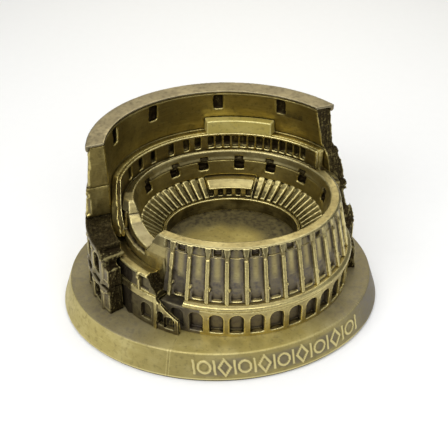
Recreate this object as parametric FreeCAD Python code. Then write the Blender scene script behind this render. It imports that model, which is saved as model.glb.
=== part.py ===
import FreeCAD, Part
import math
import os

# Souvenir model of a ruined Roman amphitheatre, cast in zinc alloy and finished in antique brass.
# Millimetres. +Z is up, -Y is the front (the low side of the ruin), +X is to the right of the front.
# The origin is the centre of the plinth's resting face.
#
# Every wall is a stretch of an elliptical ring. A ring is written (a, b, z): its semi-axes along X and Y
# and its height. Places round a ring are given by the ellipse's own angle: -90 front, 0 right, 90 back.

V = FreeCAD.Vector

# ---- driving dimensions -------------------------------------------------------------------------
DRUM = (3.85, 0.0)          # centre of the drum, the bowl, the gallery and the middle wall
WALL = (2.35, 0.0)          # centre of the tall outer wall
BASE = (0.0, 0.0)           # centre of the plinth
PLINTH_TURN = 4.6           # the plinth sits turned by this many degrees under the building

PAD = (54.4, 45.5)
PAD_THICK = 0.9
PLINTH_FOOT = (55.0, 46.1, PAD_THICK)
PLINTH_TOP = (52.4, 43.7, 9.8)
PLINTH_EDGE = 0.8           # rounding of the plinth's upper edge
CAVITY = (50.6, 41.8)       # hollow underside of the plinth
DECK_THICK = 2.6
COVER = (52.6, 43.7)
COVER_THICK = 1.0
CLEAR = 0.1                 # gap between nested castings

Z0 = PLINTH_TOP[2]          # deck, on which every wall stands
BAYS = 38
PITCH = 360.0 / BAYS
FIRST_PIER = -92.7

# drum: front facade and plain core behind it
ARCADE_FOOT = (40.3, 35.6, Z0)
ARCADE_HEAD = (40.0, 35.9, 20.3)
COURSE_TOP = 23.0
STOREY_FOOT = (39.5, 35.5, COURSE_TOP)
STOREY_HEAD = (36.5, 31.3, 38.0)
RIM_TOP = 41.5
RIM_OUTER = (35.8, 29.9)
RIM_INNER = (32.5, 26.4)
RIM_FOOT_INNER = (31.6, 25.5)
CORE_OUTER = (36.6, 31.3)
CORE_INNER = (33.8, 28.4)
FRONT = (-125.5, 20.0)      # stretch of the drum that carries the full facade
NOTCH = [(-173.5, 43.5), (-169.5, 41.0), (-165.0, 38.0), (-161.0, 35.6), (-152.0, 33.8), (-141.5, 33.0),
         (-138.0, 34.4), (-135.0, 37.4), (-131.0, 42.5)]     # broken gap in the rim: (angle, height) along its floor
NOTCH_FACE = (35.0, 30.0)   # outer face of the wall under the gap, broken back to this ring
NOTCH_FOOT = 31.0
PANEL_DEPTH = 0.9
PIER_WIDTH = 1.3
# string course: how far it stands out of the wall below, and the height of each point of its profile
BAND_PROFILE = [(0.0, 20.3), (0.0, 20.6), (0.75, 20.9), (0.95, 21.6), (0.75, 22.4), (-0.3, COURSE_TOP)]
BAND_START = -112.8         # left end of the string course

# bowl
SHELF = (30.5, 25.7)
FLOOR_UNDER = 20.3
FLOOR_TOP = 21.8
SKIRT = (33.7, 28.3)
PODIUM_INNER = (22.3, 17.5)
PODIUM_OUTER = (23.4, 18.6)
PODIUM_TOP = 26.8
TIER_FOOT = (23.5, 18.7, PODIUM_TOP)
TIER_BREAK = (26.5, 21.5, 29.3)
TIER_HEAD = (30.3, 24.2, 32.2)
RIBS = 75
RIB_GAP = 0.62
RIB_GAP_DEPTH = 0.8
BALCONY = (71.5, 110.5)
BALCONY_FACE = (24.5, 19.7)
BALCONY_TOP = 32.7
BALCONY_LIFT = 0.5          # gap between the floor plate and the balcony's underside
BALCONY_REACH = 1.4         # how far the balcony runs into the wall behind the seats
SHELL = 2.0                 # wall thickness of the hollow tiers
SLAB = 1.6                  # thickness left under the seats' slope
BALCONY_DOORS = (76.2, 84.6, 92.1, 99.2, 106.9)
BOWL_WINDOWS = (10.5, 38.8, 64.0, 85.0, 108.5, 129.4, 156.0)

# middle wall, a two-storey stump at the left front
MIDDLE_FOOT = (43.2, 38.4, Z0)
MIDDLE_HEAD = (42.6, 37.8, 20.3)
MIDDLE_COURSE_TOP = 22.6
MIDDLE_UPPER = (42.0, 37.2)
MIDDLE_TOP = 29.2
MIDDLE = (-177.0, -112.0)
MIDDLE_BREAK = [(-130.5, 34.0), (-130.5, 30.2), (-124.5, 21.8), (-119.8, 18.4), (-113.7, 15.5), (-113.2, Z0 - 1)]
MIDDLE_ARCHES = [(-130.5, 12.0, 18.4, 4.0), (-122.6, 12.0, 17.4, 2.2), (-118.1, 11.5, 16.3, 3.6)]
MIDDLE_PIERS = (-125.2, -135.0)     # ground storey, upper storey

# gallery behind the rim
GALLERY = (36.5, 177.0)
GALLERY_END = 196.0         # beyond this angle the break has taken the gallery away
GALLERY_FACE = (36.8, 31.7)
GALLERY_WALL = (38.0, 32.9)
GALLERY_BACK = (40.2, 35.6)
GALLERY_STEP = 29.0
GALLERY_TOP = 45.2
GALLERY_BREAK = [(-33.3, 1.9, 45.2), (-30.2, -4.6, 41.5), (-36.8, -6.0, 30.0)]   # points of its slanting left end
OPENING_SILL = 39.6
OPENING_HEAD = 44.2
OPENING_WIDTH = 2.2
TRIBUNE = (67.3, 104.0)
TRIBUNE_TOP = 50.3

# tall outer wall, one ring per level, and the level of each joint between storeys
OUTER = [(47.6, 42.6, Z0), (47.4, 42.4, 20.3), (46.9, 41.9, 22.3), (46.9, 41.8, 33.5), (45.7, 40.4, 45.2),
         (44.2, 38.4, 60.4)]
WALL_INNER = (40.4, 35.8)
ATTIC_INNER_TOP = (39.3, 33.0)
CAP_UNDER = 60.4
TOTAL_HEIGHT = 61.4
CAP_OUTER = (45.4, 39.6)
LIP_DROP = 2.5
ATTIC_WINDOWS = (62.5, 94.6, 130.0, 161.0)
LEFT_BREAK = ((-37.2, -1.1), (-42.7, -3.2))
LOW_LEFT_END = -144.0
LOW_LEFT_STEPS = [(LOW_LEFT_END, Z0 - 2), (-147.5, 27.6), (-152.0, 31.0)]     # (angle, height) of each step

# the right end of the tall wall is broken on a slant: (x, y, z) of its outer edge, from the top down
RIGHT_BREAK = [(38.8, 23.8, 62.0), (40.6, 24.4, 46.7), (42.6, 22.1, 43.0), (44.0, 19.9, 33.2),
               (46.7, 14.5, 22.2), (47.6, 11.8, 9.0)]
RIGHT_STUMP_TOP = 19.3

# fasteners
SCREW_R = 1.25
PILOT_R = 1.27
PASSAGE_R = 1.45
HEAD_R = 2.25
HEAD_H = 1.6
DRUM_SCREWS = (45.0, 135.0, 225.0, 315.0)
DRUM_SCREW_RING = (31.0, 26.0)
WALL_SCREWS = (30.0, 75.0, 120.0, 165.0)
WALL_SCREW_RING = (43.4, 38.6)
COVER_SCREWS = ((-44.0, 0.0), (44.0, 0.0), (0.0, -34.0), (0.0, 34.0))
PINS = ((-23.5, -25.2), (-9.0, 32.6))
PIN_R = 1.2


# ---- building blocks ----------------------------------------------------------------------------
def ring_wire(ring, centre, turn=0.0):
    """Closed ellipse of the ring (a, b, z)."""
    edge = Part.Ellipse(V(0, 0, 0), ring[0], ring[1]).toShape()
    edge.rotate(V(0, 0, 0), V(0, 0, 1), turn)
    edge.translate(V(centre[0], centre[1], ring[2]))
    return Part.Wire([edge])


def blend(low, high, z):
    """Ring on the straight line between two rings, at height z, also beyond them."""
    f = (z - low[2]) / (high[2] - low[2])
    return (low[0] + f * (high[0] - low[0]), low[1] + f * (high[1] - low[1]), z)


def drum_solid(low, high, centre, over=0.0, turn=0.0):
    """Solid between two rings, run on past both by a length over."""
    if over:
        low, high = blend(low, high, low[2] - over), blend(low, high, high[2] + over)
    return Part.makeLoft([ring_wire(low, centre, turn), ring_wire(high, centre, turn)], True, True)


def column(axes, z0, z1, centre, turn=0.0):
    """Upright elliptical column."""
    face = Part.Face(ring_wire((axes[0], axes[1], z0), centre, turn))
    return face.extrude(V(0, 0, z1 - z0))


def on_ring(axes, angle, centre, z=0.0):
    t = math.radians(angle)
    return V(centre[0] + axes[0] * math.cos(t), centre[1] + axes[1] * math.sin(t), z)


def outward(axes, angle):
    """Level unit vector that points out of the ellipse at that angle."""
    t = math.radians(angle)
    return V(math.cos(t) * axes[1], math.sin(t) * axes[0], 0).normalize()


def prism(points, z0, z1):
    """Upright prism on a plan outline."""
    corners = [V(x, y, z0) for x, y in points]
    return Part.Face(Part.makePolygon(corners + corners[:1])).extrude(V(0, 0, z1 - z0))


def sector(start, end, z0, z1, centre, axes=(110.0, 98.0)):
    """Upright wedge from the centre, between two angles of the ellipse."""
    steps = max(2, int(abs(end - start) / 30) + 1)
    rim = [on_ring(axes, start + (end - start) * i / steps, centre) for i in range(steps + 1)]
    return prism([centre] + [(p.x, p.y) for p in rim], z0, z1)


def arch_cutter(axes, angle, centre, sill, head, width, depth, round_head=True):
    """Opening with a round or square head, cut square into the wall from 3 mm outside its face."""
    n = outward(axes, angle)
    side = V(-n.y, n.x, 0)
    half = side * (width / 2)
    start = on_ring(axes, angle, centre, sill) + n * 3
    if round_head:
        spring = V(0, 0, head - sill - width / 2)
        crown = V(0, 0, head - sill)
        arc = Part.Arc(start + half + spring, start + crown, start - half + spring).toShape()
        sides = Part.makePolygon([start - half + spring, start - half, start + half, start + half + spring])
        outline = Part.Wire(sides.Edges + [arc])
    else:
        rise = V(0, 0, head - sill)
        outline = Part.makePolygon([start - half, start + half, start + half + rise, start - half + rise,
                                    start - half])
    return Part.Face(outline).extrude(n * -(3 + depth))


def pier(low, high, angle, centre, width, proud, root, top_width=None):
    """Pilaster that follows the batter of a wall: proud of it outside, rooted in it inside."""
    wires = []
    for ring, w in ((low, width), (high, top_width or width)):
        n = outward(ring, angle)
        side = V(-n.y, n.x, 0) * (w / 2)
        p = on_ring(ring, angle, centre, ring[2])
        front, back = p + n * proud, p - n * root
        wires.append(Part.makePolygon([front - side, front + side, back + side, back - side, front - side]))
    return Part.makeLoft(wires, True, True)


def bay_angles(start, end, offset=0.0):
    """Angles of the piers (offset 0) or of the bays' middles (offset half a pitch) inside a stretch."""
    first = FIRST_PIER + offset - 360.0
    return [first + PITCH * i for i in range(3 * BAYS) if start <= first + PITCH * i <= end]


def keep(shape, *tools):
    for tool in tools:
        shape = shape.common(tool)
    return shape


def inset(ring, amount):
    """Axes of a ring, made smaller by an amount."""
    return (ring[0] - amount, ring[1] - amount)


def solids_of(shape):
    """The shape's solids as one clean compound, or as the solid itself."""
    solids = [s for s in shape.Solids if s.Volume > 0.5]
    return solids[0] if len(solids) == 1 else Part.makeCompound(solids)


def save(name, shape):
    shape = solids_of(shape)
    shape.exportStep("parts/%s.step" % name)
    box = shape.BoundBox
    print("%-22s solids %d  volume %9.1f  z %5.1f to %5.1f  valid %s"
          % (name, len(shape.Solids), shape.Volume, box.ZMin, box.ZMax, shape.isValid()))


# ---- base ---------------------------------------------------------------------------------------
def base_pad():
    """Black foam sheet glued under the plinth and over the cover."""
    return column(PAD, 0, PAD_THICK, BASE, PLINTH_TURN)


def cover_recess():
    return column((COVER[0] + CLEAR, COVER[1] + CLEAR), PAD_THICK - 1, PAD_THICK + COVER_THICK, BASE, PLINTH_TURN)


def bottom_cover():
    """Sheet that closes the hollow of the plinth, held by countersunk screws."""
    plate = column(COVER, PAD_THICK, PAD_THICK + COVER_THICK, BASE, PLINTH_TURN)
    sinks = [Part.makeCone(HEAD_R + 0.05, PASSAGE_R, COVER_THICK, V(x, y, PAD_THICK)) for x, y in COVER_SCREWS]
    return plate.cut(sinks)


def cover_screws():
    """Four countersunk screws, flush with the underside of the cover."""
    group = []
    for x, y in COVER_SCREWS:
        head = Part.makeCone(HEAD_R, SCREW_R, COVER_THICK, V(x, y, PAD_THICK))
        shank = Part.makeCylinder(SCREW_R, 5.0, V(x, y, PAD_THICK + COVER_THICK / 2))
        slot = Part.makeBox(3.0, 0.5, 0.5, V(x - 1.5, y - 0.25, PAD_THICK))
        group.append(head.fuse(shank).cut(slot))
    return Part.makeCompound(group)


def deck_holes(radius, low, high):
    """Upright holes at every place where a screw comes up through the deck."""
    spots = [on_ring(DRUM_SCREW_RING, t, DRUM) for t in DRUM_SCREWS]
    spots += [on_ring(WALL_SCREW_RING, t, WALL) for t in WALL_SCREWS]
    return [Part.makeCylinder(radius, high - low, V(p.x, p.y, low)) for p in spots]


def pin_holes(radius, low, high):
    return [Part.makeCylinder(radius, high - low, V(x, y, low)) for x, y in PINS]


def plinth():
    """Hollow elliptical plinth with sloping sides, a softened upper edge and bosses for the cover screws."""
    body = drum_solid(PLINTH_FOOT, PLINTH_TOP, BASE, turn=PLINTH_TURN)
    top_edge = [e for e in body.Edges if abs(e.CenterOfMass.z - Z0) < 0.01 and e.Length > 100]
    body = body.makeFillet(PLINTH_EDGE, top_edge)
    hollow = column(CAVITY, PAD_THICK + COVER_THICK - 0.5, Z0 - DECK_THICK, BASE, PLINTH_TURN)
    bosses = [Part.makeCylinder(3.0, Z0 - DECK_THICK - PAD_THICK - COVER_THICK + 0.5,
                                V(x, y, PAD_THICK + COVER_THICK)) for x, y in COVER_SCREWS]
    taps = [Part.makeCylinder(PILOT_R, 5.0, V(x, y, PAD_THICK)) for x, y in COVER_SCREWS]
    body = body.cut([hollow, cover_recess()]).fuse(bosses)
    body = body.cut(taps + deck_holes(PASSAGE_R, 5, 12) + pin_holes(PIN_R, Z0 - 2, Z0 + 1))
    return body


def pan_screw(p, length):
    """Cross-head screw that points up, its head under the deck."""
    seat = Z0 - DECK_THICK
    head = Part.makeCylinder(HEAD_R, HEAD_H, V(p.x, p.y, seat - HEAD_H))
    rim = [e for e in head.Edges if abs(e.CenterOfMass.z - seat + HEAD_H) < 0.01 and e.Length > 5]
    head = head.makeFillet(0.6, rim)
    shank = Part.makeCylinder(SCREW_R, length, V(p.x, p.y, seat - 0.2))
    cross = [Part.makeBox(2.4, 0.5, 0.9, V(p.x - 1.2, p.y - 0.25, seat - HEAD_H - 0.1)),
             Part.makeBox(0.5, 2.4, 0.9, V(p.x - 0.25, p.y - 1.2, seat - HEAD_H - 0.1))]
    return head.fuse(shank).cut(cross)


def drum_screws():
    return Part.makeCompound([pan_screw(on_ring(DRUM_SCREW_RING, t, DRUM), 8.5) for t in DRUM_SCREWS])


def wall_screws():
    return Part.makeCompound([pan_screw(on_ring(WALL_SCREW_RING, t, WALL), 8.5) for t in WALL_SCREWS])


def locating_pins():
    return Part.makeCompound(pin_holes(PIN_R, Z0 - 2, Z0 + 3))


# ---- drum ---------------------------------------------------------------------------------------
def notch():
    """Everything above the broken stretch of the drum's wall, and the skin that the wall has lost there."""
    wires = []
    for angle, z in NOTCH:
        near, far = on_ring((26.0, 21.0), angle, DRUM, z), on_ring((46.0, 40.5), angle, DRUM, z)
        rise = V(0, 0, GALLERY_TOP + 2 - z)
        wires.append(Part.makePolygon([near, far, far + rise, near + rise, near]))
    skin = sector(NOTCH[1][0], NOTCH[-4][0], NOTCH_FOOT, GALLERY_TOP, DRUM)
    return [Part.makeLoft(wires, True, True), skin.cut(column(NOTCH_FACE, 0, GALLERY_TOP + 1, DRUM))]


def bowl_face():
    """Open space inside the bowl wall, which leans outwards to the rim."""
    return drum_solid(inset(TIER_HEAD, 0) + (TIER_HEAD[2],), RIM_FOOT_INNER + (STOREY_HEAD[2],), DRUM, over=1.0)


def facade_stretch(low, high, z0, z1):
    """Full-thickness facade on the front stretch and plain core all round, hollow inside."""
    full = drum_solid(low, high, DRUM, over=1.0)
    front = keep(full, sector(FRONT[0], FRONT[1], z0, z1, DRUM))
    core = column(CORE_OUTER, z0, z1, DRUM)
    if high[1] < CORE_OUTER[1]:
        core = core.common(drum_solid(low, high, DRUM, over=1.0))
    return front.fuse(core).cut(column(CORE_INNER, z0 - 1, z1 + 1, DRUM))


def drum_arcade():
    """Ground storey of the drum: blind arches between piers, a foot course, a shelf and screw bosses inside."""
    body = facade_stretch(ARCADE_FOOT, ARCADE_HEAD, Z0, ARCADE_HEAD[2])
    half = PITCH / 2
    arches = [arch_cutter(ARCADE_FOOT, t, DRUM, 11.2, 19.0, 4.45, 2.2)
              for t in bay_angles(FRONT[0] + 3, FRONT[1] - 2, half)]
    shelf = column((CORE_INNER[0] + 0.5, CORE_INNER[1] + 0.5), FLOOR_UNDER - 2, FLOOR_UNDER, DRUM)
    shelf = shelf.cut(column(SHELF, 0, 30, DRUM))
    spots = [on_ring(DRUM_SCREW_RING, t, DRUM) for t in DRUM_SCREWS]
    bosses = [Part.makeCylinder(3.1, FLOOR_UNDER - Z0 - 1, V(p.x, p.y, Z0)) for p in spots]
    body = body.cut(arches).fuse([shelf] + bosses)
    return body.cut(deck_holes(PILOT_R, Z0 - 1, Z0 + 7))


def drum_string_course():
    """Half-round band between the two storeys of the drum."""
    low, high = FLOOR_UNDER, COURSE_TOP
    rings = [inset(ARCADE_HEAD, -proud) + (z,) for proud, z in BAND_PROFILE]
    layers = [drum_solid(rings[i], rings[i + 1], DRUM) for i in range(len(rings) - 1)]
    front = keep(layers[0].fuse(layers[1:]), sector(BAND_START, FRONT[1], low, high, DRUM))
    core = column(CORE_OUTER, low, high, DRUM)
    return front.fuse(core).cut(column(CORE_INNER, low - 1, high + 1, DRUM))


def drum_upper_storey():
    """Battered upper storey: sunk panels between pilasters, each panel with a blind arch at its foot."""
    sunk_low = inset(STOREY_FOOT, PANEL_DEPTH) + (STOREY_FOOT[2],)
    sunk_high = inset(STOREY_HEAD, PANEL_DEPTH) + (STOREY_HEAD[2],)
    body = facade_stretch(sunk_low, sunk_high, COURSE_TOP, STOREY_HEAD[2])
    piers = [pier(STOREY_FOOT, STOREY_HEAD, t, DRUM, PIER_WIDTH, 0.2, 1.6)
             for t in bay_angles(FRONT[0] + 2, FRONT[1] - 2)]
    arches = [arch_cutter(sunk_low, t, DRUM, 23.6, 29.3, 3.5, 1.3)
              for t in bay_angles(FRONT[0] + 3, FRONT[1] - 2, PITCH / 2)]
    inner = sector(NOTCH[0][0], NOTCH[-1][0], TIER_HEAD[2] + CLEAR, STOREY_HEAD[2], DRUM)
    inner = keep(inner, column(inset(CORE_INNER, -0.5), 0, STOREY_HEAD[2], DRUM)).cut(bowl_face())
    return body.fuse(piers + [inner]).cut(arches + notch() + [gallery_break()])


def drum_rim():
    """Band that crowns the drum: sunk panels and small windows outside, walkway on top, broken at the left."""
    low = (STOREY_HEAD[0] + 0.1, STOREY_HEAD[1] + 0.1, STOREY_HEAD[2])
    high = (RIM_OUTER[0], RIM_OUTER[1], RIM_TOP)
    outer = drum_solid(low, high, DRUM)
    hollow = drum_solid(RIM_FOOT_INNER + (STOREY_HEAD[2],), RIM_INNER + (RIM_TOP,), DRUM, over=1.0)
    body = outer.cut(hollow)
    crest = [e for e in body.Edges if abs(e.CenterOfMass.z - RIM_TOP) < 0.01 and e.Length > 100]
    body = body.makeFillet(0.6, crest)
    bays = bay_angles(FRONT[0] + 3, FRONT[1] - 2, PITCH / 2)
    panels = [arch_cutter(RIM_OUTER, t, DRUM, STOREY_HEAD[2] - 1, 41.0, 3.9, 0.1, False) for t in bays]
    windows = [arch_cutter(RIM_OUTER, t, DRUM, 38.4, 40.7, 2.4, 1.0, False) for t in bays[::2]]
    return body.cut(panels + windows + notch() + [gallery_break()])


# ---- bowl ---------------------------------------------------------------------------------------
def arena_floor():
    return column(SKIRT, FLOOR_UNDER, FLOOR_TOP, DRUM)


def podium_wall():
    """Low wall round the arena, standing on the floor plate."""
    wall = column(PODIUM_OUTER, FLOOR_TOP, PODIUM_TOP, DRUM)
    return wall.cut(column(PODIUM_INNER, FLOOR_TOP - 1, PODIUM_TOP + 1, DRUM))


def bowl_space():
    """Open space inside the tiers: the slope's hollow and the shaft below it."""
    slope = drum_solid(TIER_FOOT, TIER_BREAK, DRUM).fuse(drum_solid(TIER_BREAK, TIER_HEAD, DRUM))
    return slope.fuse(column(TIER_FOOT[:2], FLOOR_TOP - 5, TIER_FOOT[2], DRUM))


def rib_gap(angle):
    """Narrow slot between two wedges of seats, following their slope."""
    foot, middle, head = [on_ring(ring, angle, DRUM, ring[2]) for ring in (TIER_FOOT, TIER_BREAK, TIER_HEAD)]
    along = V(head.x - foot.x, head.y - foot.y, 0).normalize()
    side = V(-along.y, along.x, 0)
    origin = V(foot.x, foot.y, 0) - side * (RIB_GAP / 2)
    reach = (middle - foot).dot(along), (head - foot).dot(along)
    slope = [(-0.6, foot.z), (reach[0], middle.z), (reach[1] + 0.4, head.z)]
    profile = [(d, z - RIB_GAP_DEPTH) for d, z in slope] + [(d, z + 2.0) for d, z in reversed(slope)]
    corners = [origin + along * d + V(0, 0, z) for d, z in profile]
    return Part.Face(Part.makePolygon(corners + corners[:1])).extrude(side * RIB_GAP)


def seating_tiers():
    """Ring of seats: ribbed slope towards the arena, hollow underneath, with a skirt that stands on the floor."""
    body = column(SKIRT, FLOOR_TOP, TIER_HEAD[2], DRUM).cut(bowl_space())
    hollow = column(inset(SKIRT, SHELL), FLOOR_TOP - 1, TIER_HEAD[2] - SHELL, DRUM)
    slab_low = inset(PODIUM_OUTER, -SLAB) + (FLOOR_TOP - SHELL,)
    slab_high = inset(TIER_HEAD, -SLAB) + (TIER_HEAD[2] - SHELL + 0.2,)
    slab = bowl_space().fuse(drum_solid(slab_low, slab_high, DRUM))
    body = body.cut([hollow.cut(slab), balcony_seat(FLOOR_TOP + BALCONY_LIFT, TIER_HEAD[2] + 1)])
    step = 360.0 / RIBS
    angles = [step * i for i in range(RIBS) if not BALCONY[0] - 1 < step * i < BALCONY[1] + 1]
    return body.cut([rib_gap(t) for t in angles])


def balcony_seat(z0, z1):
    """Space that the balcony takes out of the tiers and of the bowl wall."""
    reach = column(inset(TIER_HEAD, -BALCONY_REACH), z0, z1, DRUM)
    return sector(BALCONY[0], BALCONY[1], z0, z1, DRUM).common(reach)


def balcony():
    """Box of honour among the seats: sloping parapet, five doorways towards the arena."""
    z0 = FLOOR_TOP + BALCONY_LIFT + CLEAR
    block = column(inset(TIER_HEAD, CLEAR - BALCONY_REACH), z0, BALCONY_TOP - 0.5, DRUM)
    bore = column(BALCONY_FACE, z0 - 1, 30.2, DRUM)
    slope = drum_solid((BALCONY_FACE[0], BALCONY_FACE[1], 30.2), (28.0, 22.6, BALCONY_TOP), DRUM, over=0.5)
    podium = column(inset(PODIUM_OUTER, -CLEAR), 0, PODIUM_TOP, DRUM)
    block = block.cut([bore, slope, podium])
    block = keep(block, sector(BALCONY[0] + 0.2, BALCONY[1] - 0.2, z0, BALCONY_TOP, DRUM))
    doors = []
    for t in BALCONY_DOORS:
        n = outward(BALCONY_FACE, t)
        side = V(-n.y, n.x, 0)
        p = on_ring(BALCONY_FACE, t, DRUM, PODIUM_TOP) - n * 2 - side * 0.9
        outline = Part.makePolygon([p, p + side * 1.8, p + side * 1.8 + V(0, 0, 2.7), p + V(0, 0, 2.7), p])
        doors.append(Part.Face(outline).extrude(n * 3.6))
    return block.cut(doors)


def bowl_wall():
    """Plain inner wall above the seats, leaning outwards to the rim, with deep windows."""
    z0, z1 = TIER_HEAD[2], STOREY_HEAD[2]
    body = column(SKIRT, z0, z1, DRUM).cut(bowl_face())
    windows = []
    for t in BOWL_WINDOWS:
        n = outward(TIER_HEAD, t)
        side = V(-n.y, n.x, 0) * 1.7
        p = on_ring(TIER_HEAD, t, DRUM, 34.8) - n
        rise = V(0, 0, 2.4)
        outline = Part.makePolygon([p - side, p + side, p + side + rise, p - side + rise, p - side])
        windows.append(Part.Face(outline).extrude(n * 3.2))
    broken = sector(NOTCH[0][0] - 0.2, NOTCH[-1][0] + 0.2, z0 - 1, z1 + 1, DRUM)
    return body.cut(windows + [broken, balcony_seat(z0 - 1, BALCONY_TOP)])


# ---- middle wall --------------------------------------------------------------------------------
def middle_break():
    """Block that takes away everything to the right of the stepped, slanting break."""
    axes = (42.6, 37.8)
    n = outward(axes, -122.0)
    side = V(-n.y, n.x, 0)
    origin = on_ring(axes, -122.0, DRUM)
    points = []
    for angle, z in MIDDLE_BREAK:
        along = (on_ring(axes, angle, DRUM) - origin).dot(side)
        points.append(origin + side * along + V(0, 0, z))
    points += [origin + side * 30 + V(0, 0, Z0 - 1), origin + side * 30 + V(0, 0, 34)]
    face = Part.Face(Part.makePolygon([p - n * 9 for p in points] + [points[0] - n * 9]))
    return face.extrude(n * 18)


def middle_ring(low, high, z0, z1):
    """Stretch of the middle wall between the drum's core and its own face."""
    body = drum_solid(low, high, DRUM, over=0.5)
    inner = column((CORE_OUTER[0] + CLEAR, CORE_OUTER[1] + CLEAR), z0 - 1, z1 + 1, DRUM)
    front_drum = drum_solid((41.1, 36.9, Z0 - 1), (41.1, 36.9, 36.0), DRUM)
    clear_front = keep(front_drum, sector(FRONT[0] - 0.3, FRONT[1], Z0 - 1, 36, DRUM))
    return keep(body, sector(MIDDLE[0], MIDDLE[1], z0, z1, DRUM)).cut([inner, clear_front, middle_break()])


def middle_arcade():
    """Ground storey of the middle wall with blind arches and a pilaster."""
    body = middle_ring(MIDDLE_FOOT, MIDDLE_HEAD, Z0, MIDDLE_HEAD[2])
    arches = [arch_cutter(MIDDLE_FOOT, t, DRUM, sill, head, width, 1.6)
              for t, sill, head, width in MIDDLE_ARCHES]
    post = pier(MIDDLE_FOOT, MIDDLE_HEAD, MIDDLE_PIERS[0], DRUM, PIER_WIDTH, 0.4, 0.8)
    return body.cut(arches + pin_holes(PIN_R, Z0 - 1, Z0 + 3)).fuse(post)


def middle_string_course():
    low, high = MIDDLE_HEAD[2], MIDDLE_COURSE_TOP
    return middle_ring((43.3, 38.5, low), (42.7, 37.9, high), low, high)


def middle_upper_storey():
    """Upper storey of the middle wall; its top is a hollow cove that runs up to the drum."""
    low = (MIDDLE_UPPER[0] + 0.4, MIDDLE_UPPER[1] + 0.4, MIDDLE_COURSE_TOP)
    high = (MIDDLE_UPPER[0], MIDDLE_UPPER[1], MIDDLE_TOP)
    body = middle_ring(low, high, MIDDLE_COURSE_TOP, MIDDLE_TOP)
    cove = drum_solid((37.6, 32.5, MIDDLE_TOP - 1.2), (41.0, 36.2, MIDDLE_TOP + 0.5), DRUM)
    post = pier(low, high, MIDDLE_PIERS[1], DRUM, PIER_WIDTH, 0.6, 1.0)
    return body.fuse(post).cut(cove)


# ---- tall outer wall ----------------------------------------------------------------------------
def wall_hollow():
    """Everything inside the tall wall, from below the deck to above the cap."""
    low = column(WALL_INNER, Z0 - 5, GALLERY_TOP, DRUM)
    wires = [ring_wire((WALL_INNER[0], WALL_INNER[1], GALLERY_TOP), DRUM),
             ring_wire((ATTIC_INNER_TOP[0], ATTIC_INNER_TOP[1], TOTAL_HEIGHT), WALL)]
    high = Part.makeLoft(wires, True, True)
    lid = column(ATTIC_INNER_TOP, TOTAL_HEIGHT, TOTAL_HEIGHT + 3, WALL)
    stump = column((MIDDLE_FOOT[0] + 0.3, MIDDLE_FOOT[1] + 0.3), Z0 - 5, MIDDLE_TOP + 0.3, DRUM)
    stump = keep(stump, sector(-178.0, -100.0, Z0 - 5, MIDDLE_TOP + 0.3, DRUM))
    return [low, high, lid, stump]


def left_break():
    """Takes away the wall in front of its high left end, above the second storey."""
    inner, outer = LEFT_BREAK
    dx, dy = outer[0] - inner[0], outer[1] - inner[1]
    points = [(inner[0] - 3 * dx, inner[1] - 3 * dy), (outer[0] + 3 * dx, outer[1] + 3 * dy), (-60, -60), (20, -60)]
    return prism(points, OUTER[3][2], TOTAL_HEIGHT + 2)


def right_break():
    """Takes away the wall in front of its slanting right end."""
    wires = []
    for x, y, z in RIGHT_BREAK:
        corners = [V(x - 9.0, y - 3.2, z), V(x + 9.0, y + 3.2, z), V(70, -10, z), V(70, -60, z),
                   V(x - 9.0, -60, z)]
        wires.append(Part.makePolygon(corners + corners[:1]))
    return Part.makeLoft(wires, True, True)


def low_left_end():
    """Takes away the two lower storeys in front of their own broken end, which rises in steps."""
    blocks = []
    for angle, z in LOW_LEFT_STEPS:
        reach = on_ring((110.0, 98.0), angle, WALL)
        near = on_ring((30.0, 26.0), angle, WALL)
        outline = [(near.x, near.y), (reach.x, reach.y), (-60, -110), (60, -110), (60, near.y)]
        blocks.append(prism(outline, z, OUTER[3][2] + 1))
    return blocks


def wall_storey(low, high, course_depth, arch, pier_proud=0.5):
    """One storey of the tall wall: pilasters and openings outside, a band along its head."""
    z0, z1 = low[2], high[2]
    body = drum_solid(low, high, WALL)
    piers = [pier(low, high, t, WALL, 1.5, pier_proud, 1.0) for t in bay_angles(12.0, 360.0 + LOW_LEFT_END)]
    body = body.fuse(piers)
    if course_depth:
        under = blend(low, high, z1 - course_depth)
        proud = 0.7
        body = body.fuse(drum_solid((under[0] + proud, under[1] + proud, z1 - course_depth),
                                    (high[0] + proud, high[1] + proud, z1), WALL))
    body = keep(body, prism([(-70, -70), (70, -70), (70, 70), (-70, 70)], z0, z1))
    cutters = [arch_cutter(low, t, WALL, **arch) for t in bay_angles(14.0, 358.0 + LOW_LEFT_END, PITCH / 2)]
    front = prism([WALL, (70, 0), (70, -70), (-30, -70)], z0 - 1, z1 + 1)
    return body.cut(cutters + wall_hollow() + low_left_end() + [front, right_break(), left_break()])


def outer_arcade():
    arch = dict(sill=11.6, head=18.2, width=4.6, depth=1.6)
    body = wall_storey(OUTER[0], OUTER[1], 1.6, arch)
    stump = drum_solid(MIDDLE_FOOT, MIDDLE_HEAD, DRUM, over=0.5)
    stump = keep(stump, sector(-1.0, 40.0, Z0, RIGHT_STUMP_TOP, DRUM))
    stump = stump.cut(column(WALL_INNER, Z0 - 5, 40, DRUM))
    return body.fuse(stump).cut(deck_holes(PILOT_R, Z0 - 1, Z0 + 7))


def outer_second_storey():
    arch = dict(sill=23.6, head=30.4, width=4.2, depth=1.6)
    return wall_storey(OUTER[1], OUTER[3], 1.7, arch)


def outer_third_storey():
    arch = dict(sill=35.0, head=42.0, width=4.0, depth=1.5)
    return wall_storey(OUTER[3], OUTER[4], 1.7, arch)


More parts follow.
